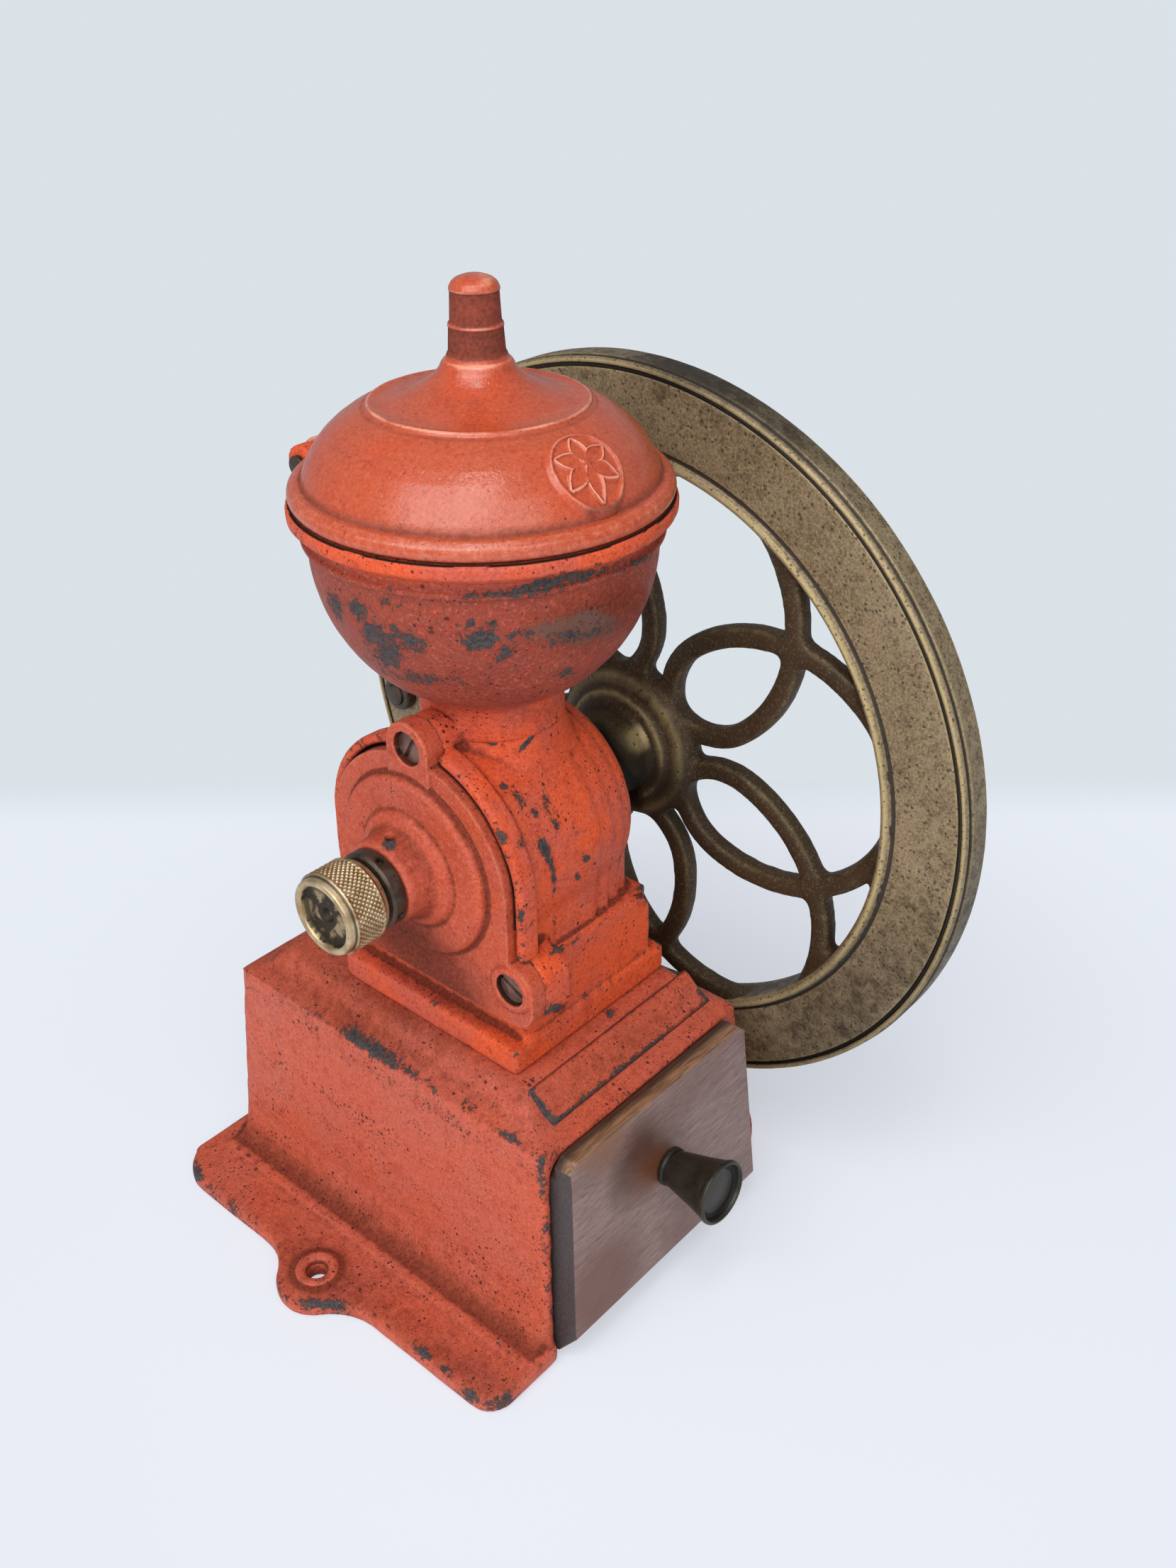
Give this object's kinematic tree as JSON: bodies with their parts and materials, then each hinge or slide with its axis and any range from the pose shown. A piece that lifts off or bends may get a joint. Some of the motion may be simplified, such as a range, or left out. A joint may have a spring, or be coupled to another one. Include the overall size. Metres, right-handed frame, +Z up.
{
  "type": "hand cranked coffee mill",
  "caption": "Table coffee mill in red painted cast iron: flanged base with a wooden drawer, domed hopper and lid, grinding head and a looped spoke flywheel with a crank handle.",
  "frame": {"origin": "on the table plane, midway between the two screw holes of the base", "axes": "+Z up, the drawer opens to -Y, the axle runs along X with the flywheel at +X"},
  "size_m": [0.2675, 0.261, 0.3223],
  "materials": {
    "red_paint": "worn gloss paint over cast iron",
    "wheel_iron": "worn and speckled with rust",
    "steel": "aged",
    "dark_steel": "blackened",
    "brass": "worn",
    "dark_bronze": "dark patina",
    "drawer_wood": "fine grained, dull",
    "grip_wood": "turned and oiled"
  },
  "bodies": {
    "stand": {"base_box": "red_paint", "mill_body": "red_paint", "hopper": "red_paint", "hopper_screw": "steel", "body_bolts": "steel", "front_cover": "red_paint", "cover_screws": "steel", "burr_ring": "steel", "rear_bush": "brass", "hinge_pin": "steel"},
    "thrust": {"thrust_pad": "steel"},
    "crank": {"shaft": "steel", "rotor_burr": "steel", "feed_worm": "steel", "burr_pin": "steel", "flywheel": "wheel_iron", "wheel_key": "steel", "hub_washer": "steel", "hub_nut": "steel", "handle_spindle": "steel", "spindle_nut": "dark_steel", "grip_screw": "steel"},
    "grip": {"handle_grip": "grip_wood"},
    "adjuster": {"adjuster_knob": "brass"},
    "lock": {"lock_ring": "dark_steel"},
    "lid": {"lid": "red_paint"},
    "drawer": {"drawer_front": "drawer_wood", "drawer_sides": "drawer_wood", "drawer_back": "drawer_wood", "drawer_bottom": "drawer_wood", "drawer_knob": "dark_bronze", "knob_screw": "steel"}
  },
  "joints": [
    {"name": "burr_set", "type": "slide", "parent": "stand", "child": "thrust", "axis": [1, 0, 0], "range_m": [-0.0005, 0.0005]},
    {"name": "adjuster_turn", "type": "hinge", "parent": "thrust", "child": "adjuster", "pos_m": [-0.06, -0.0125, 0.155], "axis": [1, 0, 0], "range_deg": [-121, 121]},
    {"name": "crank_turn", "type": "hinge", "parent": "thrust", "child": "crank", "pos_m": [0.064, -0.0125, 0.155], "axis": [1, 0, 0], "continuous": true},
    {"name": "grip_spin", "type": "hinge", "parent": "crank", "child": "grip", "pos_m": [0.1, 0.10149, 0.1349], "axis": [1, 0, 0], "continuous": true},
    {"name": "lock_turn", "type": "hinge", "parent": "stand", "child": "lock", "pos_m": [-0.0527, -0.0125, 0.155], "axis": [1, 0, 0], "range_deg": [-90, 90]},
    {"name": "lid_hinge", "type": "hinge", "parent": "stand", "child": "lid", "pos_m": [0, 0.0525, 0.259], "axis": [-1, 0, 0], "range_deg": [0, 100]},
    {"name": "drawer_slide", "type": "slide", "parent": "stand", "child": "drawer", "axis": [0, -1, 0], "range_m": [0, 0.09]}
  ],
  "couplings": [
    {"joint": "adjuster_turn", "follows": "burr_set", "rad_per_m": 4188.8}
  ]
}
